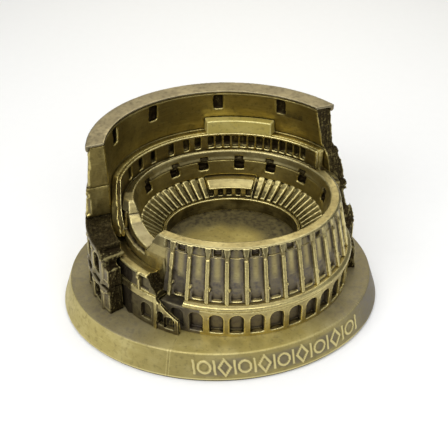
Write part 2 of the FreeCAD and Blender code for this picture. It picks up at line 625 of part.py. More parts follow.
def outer_attic():
    """Plain top storey: pilasters and small square windows outside, deep windows inside under the cap."""
    arch = dict(sill=50.0, head=53.4, width=2.4, depth=1.4, round_head=False)
    body = wall_storey(OUTER[4], OUTER[5], 0, arch, 0.35)
    windows = []
    for t in ATTIC_WINDOWS:
        n = outward(ATTIC_INNER_TOP, t)
        side = V(-n.y, n.x, 0) * 1.65
        p = on_ring(ATTIC_INNER_TOP, t, WALL, 53.8) - n * 2
        rise = V(0, 0, 5.9)
        outline = Part.makePolygon([p - side, p + side, p + side + rise, p - side + rise, p - side])
        windows.append(Part.Face(outline).extrude(n * 4.2))
    return body.cut(windows + [tribune_seat()])


def cornice():
    """Flat cap along the top of the wall, with a rolled lip that hangs over its outer face."""
    cap = column(CAP_OUTER, CAP_UNDER, TOTAL_HEIGHT, WALL)
    lip = column(CAP_OUTER, TOTAL_HEIGHT - LIP_DROP, CAP_UNDER, WALL)
    body = cap.fuse(lip).removeSplitter()
    under = [e for e in body.Edges if abs(e.CenterOfMass.z - TOTAL_HEIGHT + LIP_DROP) < 0.01 and e.Length > 100]
    body = body.makeFillet(1.1, under)
    seat = drum_solid(OUTER[4], OUTER[5], WALL, over=3.0).common(column((60, 60), 50, CAP_UNDER, WALL))
    piers = [pier(OUTER[4], OUTER[5], t, WALL, 1.5, 0.35, 1.0) for t in bay_angles(12.0, 190.0)]
    front = prism([WALL, (70, 0), (70, -70), (-30, -70)], 50, 70)
    return body.cut([seat] + piers + wall_hollow() + [front, right_break(), left_break()])


# ---- gallery ------------------------------------------------------------------------------------
def gallery_break():
    """Everything in front of the gallery's left end, a slanting break that also takes the rim's corner."""
    top, low, foot = [V(*p) for p in GALLERY_BREAK]
    along = (low - top).normalize()
    out = along.cross(foot - top).normalize()
    if out.z < 0:
        out = out * -1
    down = along.cross(out)
    corners = [top + along * a + down * d for a, d in ((-7, -20), (25, -20), (25, 20), (-7, 20))]
    return Part.Face(Part.makePolygon(corners + corners[:1])).extrude(out * 30)


def gallery_sector(z0):
    """The gallery's stretch, from a height up; its left end runs on over the middle wall."""
    whole = sector(GALLERY[0], GALLERY[1] + 5.5, z0, GALLERY_TOP, DRUM)
    return whole.fuse(sector(GALLERY[1], GALLERY_END, max(z0, MIDDLE_TOP + 1.0), GALLERY_TOP, DRUM))


def gallery_colonnade():
    """Thin curved wall behind the rim, pierced by a row of upright openings."""
    wall = column(GALLERY_WALL, GALLERY_STEP, GALLERY_TOP, DRUM)
    wall = wall.cut(column(GALLERY_FACE, GALLERY_STEP - 1, GALLERY_TOP + 1, DRUM))
    wall = keep(wall, gallery_sector(GALLERY_STEP))
    close = [101.5 - 4.5 * i for i in range(13)]
    wide = [108.9, 115.7, 125.1, 137.8, 148.2, 159.6]
    cutters = [arch_cutter(GALLERY_WALL, t, DRUM, OPENING_SILL, OPENING_HEAD, OPENING_WIDTH, 4.0, False)
               for t in close + wide]
    return wall.cut(cutters + [gallery_break()])


def gallery_body():
    """Curved mass behind the colonnade; its top is the gallery's deck."""
    body = column(GALLERY_BACK, Z0, GALLERY_TOP, DRUM)
    inner_low = column((CORE_OUTER[0] + CLEAR, CORE_OUTER[1] + CLEAR), Z0 - 1, GALLERY_STEP, DRUM)
    inner_high = column((GALLERY_WALL[0], GALLERY_WALL[1]), GALLERY_STEP, GALLERY_TOP + 1, DRUM)
    groove = column(inset(GALLERY_WALL, -1.0), OPENING_SILL, OPENING_HEAD, DRUM)
    groove = keep(groove, sector(GALLERY[0] + 3, GALLERY[1] - 8, OPENING_SILL, OPENING_HEAD, DRUM))
    body = body.cut([inner_low, inner_high, groove])
    high_part = gallery_sector(Z0)
    low_part = sector(FRONT[1] + 0.3, GALLERY[0], Z0, GALLERY_STEP + 9, DRUM)
    body = keep(body, high_part.fuse(low_part))
    return body.cut(pin_holes(PIN_R, Z0 - 1, Z0 + 3) + [gallery_break()])


def tribune_seat():
    """Space that the tribune takes on the gallery's deck."""
    return sector(TRIBUNE[0], TRIBUNE[1], GALLERY_TOP, TRIBUNE_TOP, DRUM).common(
        column((GALLERY_BACK[0] + 0.4, GALLERY_BACK[1] + 0.4), GALLERY_TOP, TRIBUNE_TOP, DRUM))


def tribune():
    """Solid block that stands on the deck against the tall wall."""
    block = tribune_seat().cut(column(GALLERY_FACE, GALLERY_TOP - 1, TRIBUNE_TOP + 1, DRUM))
    block = keep(block, wall_hollow()[1])
    return block


# ---- hand-in ------------------------------------------------------------------------------------
NODES = {
    "base_pad": base_pad,
    "bottom_cover": bottom_cover,
    "cover_screws": cover_screws,
    "plinth": plinth,
    "drum_screws": drum_screws,
    "wall_screws": wall_screws,
    "locating_pins": locating_pins,
    "drum_arcade": drum_arcade,
    "drum_string_course": drum_string_course,
    "drum_upper_storey": drum_upper_storey,
    "drum_rim": drum_rim,
    "arena_floor": arena_floor,
    "podium_wall": podium_wall,
    "seating_tiers": seating_tiers,
    "balcony": balcony,
    "bowl_wall": bowl_wall,
    "middle_arcade": middle_arcade,
    "middle_string_course": middle_string_course,
    "middle_upper_storey": middle_upper_storey,
    "outer_arcade": outer_arcade,
    "outer_second_storey": outer_second_storey,
    "outer_third_storey": outer_third_storey,
    "outer_attic": outer_attic,
    "cornice": cornice,
    "gallery_colonnade": gallery_colonnade,
    "gallery_body": gallery_body,
    "tribune": tribune,
}

os.makedirs("parts", exist_ok=True)
for node, make in NODES.items():
    save(node, make())
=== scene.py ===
import math

import bmesh
import bpy
import numpy as np
from mathutils import Matrix, Vector


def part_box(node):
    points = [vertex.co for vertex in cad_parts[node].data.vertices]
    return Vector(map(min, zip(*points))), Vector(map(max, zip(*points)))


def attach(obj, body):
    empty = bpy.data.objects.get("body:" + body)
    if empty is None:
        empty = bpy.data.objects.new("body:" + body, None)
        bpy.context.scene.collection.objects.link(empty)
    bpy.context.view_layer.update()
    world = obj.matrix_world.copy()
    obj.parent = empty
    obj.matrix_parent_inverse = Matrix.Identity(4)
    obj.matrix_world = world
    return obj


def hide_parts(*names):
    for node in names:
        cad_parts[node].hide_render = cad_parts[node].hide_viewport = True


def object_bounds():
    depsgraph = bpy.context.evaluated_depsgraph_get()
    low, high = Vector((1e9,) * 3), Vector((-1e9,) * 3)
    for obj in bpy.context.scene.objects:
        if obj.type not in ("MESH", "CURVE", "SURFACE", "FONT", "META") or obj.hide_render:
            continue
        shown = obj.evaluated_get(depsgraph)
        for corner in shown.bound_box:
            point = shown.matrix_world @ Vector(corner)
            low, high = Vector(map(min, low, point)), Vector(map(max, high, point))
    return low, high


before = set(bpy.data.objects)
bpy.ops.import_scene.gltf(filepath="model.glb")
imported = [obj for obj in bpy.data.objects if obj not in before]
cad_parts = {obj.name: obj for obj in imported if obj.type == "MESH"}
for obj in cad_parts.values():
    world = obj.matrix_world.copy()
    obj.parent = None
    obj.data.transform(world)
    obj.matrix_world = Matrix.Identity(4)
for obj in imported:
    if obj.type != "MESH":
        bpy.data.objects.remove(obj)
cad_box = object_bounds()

# Souvenir model of a ruined amphitheatre, cast metal in an antique-brass finish.
# Lengths in this file are millimetres until they are written into a mesh, a light or the camera.
# A ring is an ellipse (a, b) round a centre. Angles are the ellipse's own angle in degrees:
# -90 is the front, 0 the right, 90 the back. Every wall is a stretch of such a ring.

MM = 0.001
DRUM = np.array([3.85, 0.0])        # centre of the drum, the bowl, the gallery and the middle wall
WALL = np.array([2.35, 0.0])        # centre of the tall outer wall
BASE = np.array([0.0, 0.0])         # centre of the plinth
PLINTH_TURN = 4.6
PITCH = 360.0 / 38                  # angle of one bay
FIRST_PIER = -92.7
FRONT = (-125.5, 20.0)              # stretch of the drum that carries the full facade


def low(node):
    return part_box(node)[0].z / MM


def high(node):
    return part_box(node)[1].z / MM


DECK = high("plinth")
ARCADE_HEAD = high("drum_arcade")
COURSE_HEAD = high("drum_string_course")
STOREY_HEAD = high("drum_upper_storey")
RIM_TOP = high("drum_rim")
FLOOR = high("arena_floor")
PODIUM_TOP = high("podium_wall")
TIER_HEAD = high("seating_tiers")
GALLERY_TOP = high("gallery_body")
CAP_TOP = high("cornice")
OUTER_HEADS = [high(n) for n in ("outer_arcade", "outer_second_storey", "outer_third_storey", "outer_attic")]


# ---- fields in space ----------------------------------------------------------------------------
def smooth_step(x):
    x = np.clip(x, 0.0, 1.0)
    return x * x * (3.0 - 2.0 * x)


def inside(distance, soft=0.35):
    """1 inside an outline, 0 outside it, easing over the width soft. The distance is negative inside."""
    return smooth_step(0.5 - distance / soft)


def between(x, start, end, soft=0.35):
    return inside(np.maximum(start - x, x - end), soft)


def noise(points, scale, seed=0):
    """Smooth random field from -1 to 1, with features about scale millimetres wide."""
    size = 32
    table = np.random.default_rng(seed).random((size, size, size)) * 2.0 - 1.0
    q = points / scale + 1000.0
    cell = np.floor(q).astype(int)
    f = q - cell
    f = f * f * (3.0 - 2.0 * f)
    total = 0.0
    for dx in (0, 1):
        for dy in (0, 1):
            for dz in (0, 1):
                weight = np.abs(1 - dx - f[:, 0]) * np.abs(1 - dy - f[:, 1]) * np.abs(1 - dz - f[:, 2])
                total = total + weight * table[(cell[:, 0] + dx) % size, (cell[:, 1] + dy) % size,
                                               (cell[:, 2] + dz) % size]
    return total


def rough(points, scale, seed=0, octaves=4):
    total, gain = 0.0, 1.0
    for k in range(octaves):
        total = total + gain * noise(points, scale / 2 ** k, seed + 17 * k)
        gain *= 0.55
    return total


class Round:
    """Where points lie on a battered elliptical wall: angle, height, distance outside its face."""

    def __init__(self, points, normals, low_ring, high_ring, centre):
        x, y, self.z = points[:, 0] - centre[0], points[:, 1] - centre[1], points[:, 2]
        f = (self.z - low_ring[2]) / (high_ring[2] - low_ring[2])
        a = low_ring[0] + f * (high_ring[0] - low_ring[0])
        b = low_ring[1] + f * (high_ring[1] - low_ring[1])
        r = np.arctan2(y / b, x / a)
        self.t = np.degrees(r)
        out = np.stack([b * np.cos(r), a * np.sin(r), 0 * r], -1)
        self.out = out / np.linalg.norm(out, axis=1, keepdims=True)
        self.off = (x - a * np.cos(r)) * self.out[:, 0] + (y - b * np.sin(r)) * self.out[:, 1]
        self.facing = (normals * self.out).sum(1)
        self.along = normals[:, 1] * self.out[:, 0] - normals[:, 0] * self.out[:, 1]
        self.front = smooth_step((self.facing - 0.35) / 0.3)
        self.speed = np.hypot(a * np.sin(r), b * np.cos(r)) * math.pi / 180.0

    def beside(self, angle):
        """Distance along the wall from an angle, or from one angle per point."""
        return ((self.t - angle + 180.0) % 360.0 - 180.0) * self.speed

    def pier(self):
        return self.beside(FIRST_PIER + PITCH * np.round((self.t - FIRST_PIER) / PITCH))

    def bay(self):
        offset = FIRST_PIER + PITCH / 2
        return self.beside(offset + PITCH * np.round((self.t - offset) / PITCH))

    def bay_number(self):
        return np.round((self.t - FIRST_PIER - PITCH / 2) / PITCH)

    def stretch(self, start, end, soft=1.0):
        middle = (start + end) / 2.0
        t = (self.t - middle + 180.0) % 360.0 - 180.0 + middle
        return inside(np.maximum(start - t, t - end), soft)


def box_edge(x, z, half_width, bottom, top):
    """Signed distance to an upright rectangle."""
    return np.maximum(np.abs(x) - half_width, np.abs(z - (bottom + top) / 2) - (top - bottom) / 2)


def arch_edge(x, z, half_width, sill, crown):
    """Signed distance to an opening with a round head."""
    spring = crown - half_width
    below = np.maximum(np.abs(x) - half_width, np.maximum(sill - z, z - spring))
    head = np.where(z > spring, np.hypot(x, z - spring) - half_width, 1e3)
    return np.minimum(below, head)


# ---- meshes -------------------------------------------------------------------------------------
def even_mesh(node, voxel):
    """The node's CAD shape as a closed mesh of even small faces, in millimetres."""
    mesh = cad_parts[node].data.copy()
    mesh.transform(Matrix.Scale(1.0 / MM, 4))
    holder = bpy.data.objects.new("holder", mesh)
    bpy.context.scene.collection.objects.link(holder)
    remesh = holder.modifiers.new("even", "REMESH")
    remesh.mode = "VOXEL"
    remesh.voxel_size = voxel
    return applied(holder)


def applied(holder):
    """The object's mesh with its modifiers applied; the object itself is deleted."""
    result = bpy.data.meshes.new_from_object(holder.evaluated_get(bpy.context.evaluated_depsgraph_get()))
    bpy.data.objects.remove(holder)
    return result


def swept_mesh(name, rows, angles, centre, closed, turn=0.0):
    """Closed skin of a profile carried round the ellipse.

    rows holds one (a, b, z) per point of the profile. A closed sweep joins its last angle to its first and
    ends at a disc at its first and last row; an open one joins its last row to its first and has end caps.
    """
    r = np.radians(angles)
    rings = np.array(rows)
    x = rings[None, :, 0] * np.cos(r)[:, None]
    y = rings[None, :, 1] * np.sin(r)[:, None]
    c, s = math.cos(math.radians(turn)), math.sin(math.radians(turn))
    points = np.stack([centre[0] + c * x - s * y, centre[1] + s * x + c * y,
                       np.broadcast_to(rings[:, 2], x.shape)], -1)
    number = np.arange(x.size).reshape(x.shape)
    grid = np.concatenate([number, number[:1]]) if closed else np.concatenate([number, number[:, :1]], 1)
    quads = np.stack([grid[:-1, :-1], grid[1:, :-1], grid[1:, 1:], grid[:-1, 1:]], -1).reshape(-1, 4)
    caps = [number[::-1, 0], number[:, -1]] if closed else [number[0], number[-1, ::-1]]
    mesh = bpy.data.meshes.new(name)
    faces = quads.tolist() + [list(map(int, cap)) for cap in caps]
    mesh.from_pydata(points.reshape(-1, 3).tolist(), [], faces)
    skin = bmesh.new()
    skin.from_mesh(mesh)
    bmesh.ops.recalc_face_normals(skin, faces=skin.faces)
    skin.to_mesh(mesh)
    skin.free()
    return mesh


def read(mesh, what="co"):
    source = mesh.vertices if what == "co" else mesh.vertex_normals
    values = np.zeros(len(mesh.vertices) * 3, np.float32)
    source.foreach_get("co" if what == "co" else "vector", values)
    return values.reshape(-1, 3).astype(float)


def write(mesh, points):
    mesh.vertices.foreach_set("co", points.astype(np.float32).ravel())
    mesh.update()


def relax(values, ends, degree, rounds):
    """Moves each value half the way to the mean of its neighbours, several times."""
    for _ in range(rounds):
        total = np.stack([np.bincount(ends[:, 0], values[ends[:, 1], k], len(values))
                          + np.bincount(ends[:, 1], values[ends[:, 0], k], len(values))
                          for k in range(3)], -1)
        values = values + 0.5 * (total / degree[:, None] - values)
    return values


def store(mesh, name, values):
    attribute = mesh.attributes.new(name, "FLOAT", "POINT")
    attribute.data.foreach_set("value", values.astype(np.float32))


def nothing(points, normals):
    return np.zeros(len(points))


def casting(name, mesh, material, nodes, detail=None, patina_and_shade=nothing, broken_and_shade=nothing,
            soften=2, settle=1, grain=0.025, keep=1.0, wear_reach=4, joints=(), shade=nothing):
    """Finishes a raw mesh as a casting: soft edges, relief, broken faces, unevenness, and masks for wear and
    painted shade.

    detail(points, normals) gives a displacement vector per point; the patina, broken and shade masks give
    values from 0 to 1. The patina mask also carries painted shade on some pieces, the broken mask also
    carries painted shade in openings, and the shade mask is painted shade.
    Edges at the heights in joints, where the piece meets the next one, stay sharp and are not rubbed bright.
    """
    ends = np.zeros(len(mesh.edges) * 2, np.int32)
    mesh.edges.foreach_get("vertices", ends)
    ends = ends.reshape(-1, 2)
    degree = np.maximum(np.bincount(ends.ravel(), minlength=len(mesh.vertices)), 1).astype(float)
    raw = read(mesh)
    joint, unrubbed = np.zeros(len(raw)), np.zeros(len(raw))
    for height in joints:
        joint = np.maximum(joint, inside(np.abs(raw[:, 2] - height) - 0.35, 0.3))
        unrubbed = np.maximum(unrubbed, inside(np.abs(raw[:, 2] - height) - 1.0, 0.6))
    points = raw + (relax(raw, ends, degree, soften) - raw) * (1.0 - joint)[:, None]
    write(mesh, points)
    if detail is not None:
        points = relax(points + detail(points, read(mesh, "normal")), ends, degree, settle)
        write(mesh, points)
    normals = read(mesh, "normal")
    torn_and_shaded = np.clip(broken_and_shade(points, normals), 0.0, 1.0)
    aged_and_shaded = np.clip(patina_and_shade(points, normals), 0.0, 1.0)
    dim = np.clip(shade(points, normals), 0.0, 1.0)
    shove = grain * (noise(points, 2.6, 5) + 0.6 * noise(points, 1.1, 6))
    shove = shove + torn_and_shaded * (0.36 * rough(points * (1.0, 1.0, 0.5), 2.6, 40) - 0.15)
    lowest, highest = np.array(cad_box[0]) / MM + 0.01, np.array(cad_box[1]) / MM - 0.01
    points = np.clip(points + normals * shove[:, None], lowest, highest)
    write(mesh, points)
    normals = read(mesh, "normal")
    near = relax(points, ends, degree, wear_reach)
    far = relax(near, ends, degree, wear_reach * 6)
    store(mesh, "edge", ((points - near) * normals).sum(1) * (1.0 - unrubbed))
    store(mesh, "hollow", ((far - points) * normals).sum(1))
    store(mesh, "broken_and_shade", torn_and_shaded)
    store(mesh, "patina_and_shade", aged_and_shaded)
    store(mesh, "shade", dim)
    if keep < 1.0:
        holder = bpy.data.objects.new("holder", mesh)
        bpy.context.scene.collection.objects.link(holder)
        thin = holder.modifiers.new("thin", "DECIMATE")
        thin.ratio = keep
        mesh = applied(holder)
    mesh.transform(Matrix.Scale(MM, 4))
    mesh.polygons.foreach_set("use_smooth", np.ones(len(mesh.polygons), bool))
    mesh.materials.clear()
    mesh.materials.append(material)
    mesh.name = name
    piece = bpy.data.objects.new(name, mesh)
    bpy.context.scene.collection.objects.link(piece)
    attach(piece, "root")
    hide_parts(*nodes)
    print("piece", name, len(mesh.vertices), "vertices", len(mesh.polygons), "faces")
    return piece


def outward(place, amount):
    return place.out * (amount * place.front)[:, None]


# ---- relief of the castings -----------------------------------------------------------------------
ARCADE = ((40.3, 35.6, DECK), (40.0, 35.9, ARCADE_HEAD))
STOREY = ((39.3, 35.3, COURSE_HEAD), (36.5, 31.3, STOREY_HEAD))
MIDDLE = ((43.2, 38.4, DECK), (42.6, 37.8, ARCADE_HEAD))
MIDDLE_STOREY = ((42.4, 37.6, 22.6), (42.0, 37.2, 29.2))
OUTER = [((47.6, 42.6, DECK), (47.4, 42.4, OUTER_HEADS[0])),
         ((47.4, 42.4, OUTER_HEADS[0]), (46.9, 41.8, OUTER_HEADS[1])),
         ((46.9, 41.8, OUTER_HEADS[1]), (45.7, 40.4, OUTER_HEADS[2])),
         ((45.7, 40.4, OUTER_HEADS[2]), (44.2, 38.4, OUTER_HEADS[3]))]


def arcade_relief(points, normals):
    p = Round(points, normals, *ARCADE, DRUM)
    surround = between(arch_edge(p.bay(), p.z, 2.22, 11.2, 19.0), 0.0, 0.35, 0.25)
    surround = surround * (p.z > 16.0) * (p.off > -0.6)
    return outward(p, 0.15 * surround * p.stretch(*FRONT))


def arcade_patina(points, normals):
    p = Round(points, normals, *ARCADE, DRUM)
    deep = smooth_step((-p.off - 0.5) / 0.6) * (normals[:, 2] < 0.6)
    return np.maximum(deep, p.stretch(-127.0, -105.0, 0.6)) * p.stretch(*FRONT)


def arcade_broken(points, normals):
    p = Round(points, normals, *ARCADE, DRUM)
    return np.maximum(core_broken(points, normals), 0.35 * p.stretch(-127.0, -110.0, 2.0))


def storey_relief(points, normals):
    p = Round(points, normals, *STOREY, DRUM)
    s, z = p.pier(), p.z
    neck = between(z, 37.4, 37.85, 0.2) * (p.off > -0.4)
    bead = inside(np.hypot(s - 0.75, z - 27.6) - 0.45, 0.3) * (0.6 - p.off) * (p.off > -1.3)
    panel = (p.off < -0.2) * (p.off > -1.5)
    pillow = 0.2 * (1.0 - (p.bay() / 1.9) ** 2) * panel * between(z, 30.0, STOREY_HEAD + 1.0, 0.8)
    return outward(p, (bead + pillow - 0.45 * neck) * p.stretch(*FRONT))


def rubbed_centre(place, bottom):
    """Middle of a panel, where the dark wax has been rubbed away."""
    return 0.85 * inside(np.abs(place.bay()) - 0.8, 1.5) * inside(bottom - place.z, 2.5)


def storey_patina(points, normals):
    p = Round(points, normals, *STOREY, DRUM)
    sunk = smooth_step((-p.off - 0.35) / 0.4) * smooth_step((p.facing + 0.2) / 0.4)
    up = smooth_step((normals[:, 2] - 0.55) / 0.2)
    sunk = sunk * (1.0 - up) * p.stretch(*FRONT) * (1.0 - rubbed_centre(p, 31.5))
    return np.maximum(sunk, 0.55 * up * p.stretch(-180.0, -122.0))


def storey_broken(points, normals):
    p = Round(points, normals, *STOREY, DRUM)
    corner = 0.5 * p.stretch(-127.0, -113.5, 1.5) * inside(p.z - 30.5 + 0.25 * (p.t + 113.5), 1.5)
    return np.maximum(core_broken(points, normals), corner)


RIM = ((36.6, 31.4, STOREY_HEAD), (35.8, 29.9, RIM_TOP))
BOWL = ((30.3, 24.2, 32.2), (31.6, 25.5, STOREY_HEAD))
BOWL_WINDOWS = (10.5, 38.8, 64.0, 85.0, 108.5, 129.4, 156.0)
RIM_UPRIGHT = ((35.8, 29.9, STOREY_HEAD), (35.8, 29.9, RIM_TOP))


def rim_relief(points, normals):
    """Capitals, panels and framed windows under the crest in front; a walkway that falls outwards behind."""
    p = Round(points, normals, *RIM, DRUM)
    hole = inside(Round(points, normals, *RIM_UPRIGHT, DRUM).off + 0.6, 0.3)
    s, z = np.abs(p.pier()), p.z
    flare = 0.66 + 0.4 * np.clip((z - 38.4) / 2.4, 0.0, 1.0)
    sunk = inside(flare - s, 0.3) * inside(z - 40.95, 0.25)
    frame_edge = box_edge(p.bay(), z, 1.2, 38.4, 40.7)
    window = between(frame_edge, 0.0, 0.4, 0.25) * (p.bay_number() % 2 == 1)
    dentils = inside(np.abs((p.beside(-90.0) / 1.25) % 1.0 - 0.5) * 1.25 - 0.3, 0.25) * between(
        z, 40.4, 41.0, 0.25) * p.stretch(-112.0, -66.0)
    target = 0.15 - 1.1 * sunk + 0.35 * window + 0.3 * dentils * sunk
    front = p.stretch(*FRONT) * inside(z - RIM_TOP + 0.35, 0.3) * (1.0 - hole)
    moved = outward(p, front * np.clip(target - p.off, -1.2, 1.2))
    behind = p.stretch(30.0, 176.0, 8.0)
    depth = smooth_step((p.off + 3.1) / 2.7) * smooth_step((p.z - STOREY_HEAD - 1.0) / 1.5)
    moved[:, 2] -= 2.1 * behind * depth
    lap = 0.2 * (p.facing < -0.4) * (p.off < -1.5) * between(p.z, STOREY_HEAD - 1.0, STOREY_HEAD + 0.8, 1.2)
    return moved + p.out * (0.6 * window_heads(p) - lap)[:, None]


def window_heads(p):
    """Heads of the bowl's windows, which run up from the bowl wall into the rim."""
    head = 0.0 * p.z
    for angle in BOWL_WINDOWS:
        opening = inside(np.abs(p.beside(angle)) - 1.6, 0.4) * between(p.z, 35.0, STOREY_HEAD + 1.4)
        head = np.maximum(head, opening)
    return head * (p.facing < -0.4)


def rim_windows_painted_shade(points, normals):
    # painted shade in the window heads
    return 0.9 * window_heads(Round(points, normals, *RIM, DRUM))


def rim_shade(points, normals):
    """Painted shade: the rim's inner face is as dark as the wall below it, and its broken left part is
    darker.
    """
    p = Round(points, normals, *RIM, DRUM)
    inner = 0.2 * smooth_step((-p.facing - 0.3) / 0.3) * smooth_step((RIM_TOP - 0.5 - p.z) / 0.5)
    return np.maximum(inner * (p.off < -1.5), 0.65 * p.stretch(-186.0, -129.0, 2.0) * (p.z < RIM_TOP - 0.6))


def bowl_relief(points, normals):
    """Dents under the heads of the windows."""
    p = Round(points, normals, *BOWL, DRUM)
    return p.out * (0.6 * window_heads(p))[:, None]


def bowl_windows_painted_shade(points, normals):
    # painted shade in the bowl's windows and under their heads
    p = Round(points, normals, *BOWL, DRUM)
    deep = smooth_step((p.off - 0.3) / 0.4) * inside(p.off - 2.8, 0.4) * inside(34.0 - p.z, 0.3)
    return np.maximum(deep, 0.9 * window_heads(p))


def rim_patina(points, normals):
    p = Round(points, normals, *RIM, DRUM)
    sunk = smooth_step((-p.off - 0.45) / 0.3) * smooth_step((p.facing - 0.2) / 0.4)
    plain = 1.0 - rubbed_centre(p, 31.5) * (p.bay_number() % 2 == 0)
    return sunk * p.stretch(-131.0, FRONT[1]) * (p.z < 41.1) * plain


MIDDLE_ARCHES = [(-130.5, 12.0, 18.4, 2.0), (-122.6, 12.0, 17.4, 1.1), (-118.1, 11.5, 16.3, 1.8)]


def middle_relief(points, normals):
    p = Round(points, normals, *MIDDLE, DRUM)
    surround = 0.0 * p.z
    for angle, sill, head, half_width in MIDDLE_ARCHES:
        edge = arch_edge(p.beside(angle), p.z, half_width, sill, head)
        surround = np.maximum(surround, between(edge, 0.0, 0.4, 0.25) * (p.z > sill))
    return outward(p, 0.2 * surround * (p.off > -0.6))


def middle_painted_shade(points, normals):
    """Painted shade on the middle wall's ground storey: dark everywhere but on the pier beside the low
    arches and along the slanting break.
    """
    p = Round(points, normals, *MIDDLE, DRUM)
    pier = inside(np.abs(p.beside(-125.2)) - 0.75, 0.4)
    slope = p.stretch(-124.5, -112.0) * inside(np.abs(p.z - 18.5 + 0.62 * p.beside(-121.5)) - 1.0, 0.6)
    return (0.85 - 0.85 * np.maximum(pier, slope)) * smooth_step((p.facing + 0.1) / 0.4) * (p.z < 20.4)


def middle_storey_relief(points, normals):
    p = Round(points, normals, *MIDDLE_STOREY, DRUM)
    capital = between(np.abs(p.beside(-135.0)), -1.0, 0.95, 0.3) * between(p.z, 27.0, 28.2, 0.3)
    panel = inside(box_edge(p.beside(-131.6), p.z, 1.7, 23.4, 28.0), 0.3) * (p.off > -0.6)
    lip = between(p.z, 28.5, 29.8, 0.3) * 0.35
    return outward(p, 0.4 * capital - 0.7 * panel + lip)


def middle_storey_patina(points, normals):
    p = Round(points, normals, *MIDDLE_STOREY, DRUM)
    upright = inside(np.abs(p.beside(-135.0)) - 0.75, 0.4)
    return 0.9 * (1.0 - upright) * smooth_step((p.facing - 0.2) / 0.4) * between(p.z, 23.2, 28.3)


def middle_broken_and_painted_shade(points, normals):
    """Rough broken stretches of the middle wall, darkened partly as painted shade: its left part and its
    slanting break at the right.
    """
    p = Round(points, normals, *MIDDLE, DRUM)
    left = p.stretch(-178.0, -139.5, 1.5) * smooth_step((p.facing + 0.1) / 0.3) * (p.z < 28.0)
    cut = p.stretch(-134.0, -100.0, 1.5) * smooth_step((p.along - 0.3) / 0.2)
    return np.maximum(left, cut)


def outer_relief(level, arch, proud):
    """Relief of one storey of the tall wall: arch surround, sill, capitals and joints of the masonry."""
    def relief(points, normals):
        p = Round(points, normals, *OUTER[level], WALL)
        half_width, sill, crown = arch
        foot, head = OUTER[level][0][2], OUTER[level][1][2]
        edge = arch_edge(p.bay(), p.z, half_width, sill, crown)
        if level == 3:
            edge = box_edge(p.bay(), p.z, half_width, sill, crown)
        surround = between(edge, 0.1, 0.75, 0.3) * (p.off > -0.6)
        capital = between(np.abs(p.pier()), -1.0, 1.05, 0.3) * between(p.z, head - 3.4, head - 2.2, 0.4)
        base = between(np.abs(p.pier()), -1.0, 1.05, 0.3) * between(p.z, foot - 1, foot + 1.0, 0.3)
        course = between((p.z - foot) % 2.3, 0.0, 0.22, 0.2) * (p.off > -0.3) * (np.abs(p.pier()) > 1.1)
        amount = 0.3 * surround + proud * np.maximum(capital, base) - 0.12 * course
        return outward(p, amount * smooth_step((p.off + 1.0) / 0.4))
    return relief


def outer_patina(level):
    def patina_and_shade(points, normals):
        p = Round(points, normals, *OUTER[level], WALL)
        sunk = 0.75 * smooth_step((-p.off + 0.1) / 0.5)
        return np.maximum(sunk, 0.7 * p.stretch(186.0, 225.0, 6.0)) * smooth_step((p.facing - 0.1) / 0.4)
    return patina_and_shade


def broken_ends(points, normals):
    """Faces of the tall wall's broken right end and of its low left end."""
    p = Round(points, normals, (47.6, 42.6, DECK), (44.2, 38.4, CAP_TOP), WALL)
    across = smooth_step((0.8 - np.abs(p.facing)) / 0.25)
    right = p.stretch(-8.0, 44.0, 2.0)
    left = p.stretch(180.0, 222.0, 2.0) * smooth_step((34.5 - p.z) / 1.0)
    tall = p.stretch(176.0, 190.0, 2.0) * smooth_step((p.z - 33.5) / 1.0) * 0.22
    return across * np.maximum(np.maximum(right, left), tall)


def slanted(points, normals):
    """The gallery's slanting left end."""
    out = np.array([-0.66, -0.59, 0.46])
    return smooth_step(((normals * out).sum(1) - 0.8) / 0.12) * (points[:, 0] < -28.0) * (points[:, 1] < 9.0)


def body_broken_and_painted_shade(points, normals):
    """The rubble mass between the drum and the tall wall's right end, and the slanting left end, with
    painted shade on the gallery's inner face behind the colonnade.
    """
    p = Round(points, normals, (40.2, 35.6, DECK), (40.2, 35.6, GALLERY_TOP), DRUM)
    rubble = p.stretch(-120.0, 36.3, 1.0) * (0.6 + 0.4 * smooth_step(normals[:, 2]))
    behind = p.stretch(40.0, 180.0) * smooth_step((-p.facing - 0.3) / 0.3)
    behind = behind * between(p.z, 29.5, GALLERY_TOP - 1.0)
    return np.maximum(np.maximum(rubble, 0.85 * behind), 0.4 * slanted(points, normals))


def end_broken(points, normals):
    """The colonnade's slanting left end."""
    return 0.35 * slanted(points, normals)


def core_broken(points, normals):
    """Rough left flank of the drum, where the facade stops."""
    p = Round(points, normals, *STOREY, DRUM)
    return 0.45 * p.stretch(-178.0, -133.0, 2.0) * smooth_step((p.facing - 0.1) / 0.3) * (p.z < 32.0)


def attic_painted_shade_and_broken_ends(points, normals):
    """Painted shade in the deep windows of the tall wall's inner face, plus the broken ends."""
    p = Round(points, normals, (40.1, 35.5, GALLERY_TOP), (39.3, 33.0, CAP_TOP), WALL)
    deep = smooth_step((p.off - 0.3) / 0.4) * inside(p.off - 2.8, 0.4) * inside(53.0 - p.z, 0.3)
    return np.maximum(deep * p.stretch(50.0, 172.0), broken_ends(points, normals))


def floor_painted_shadow(points, normals):
    """Painted shadow: a dark border of the arena's floor, wider at the back and at the right."""
    x, y = points[:, 0] - DRUM[0] + 3.5, points[:, 1] - DRUM[1] + 4.0
    return smooth_step((np.hypot(x / 18.0, y / 14.0) - 0.66 + 0.12 * noise(points, 4.0, 12)) / 0.42)


BALCONY = ((24.5, 19.7, 26.0), (24.5, 19.7, 31.0))
BALCONY_LINTEL = 29.9               # foot of the parapet, over the doorways


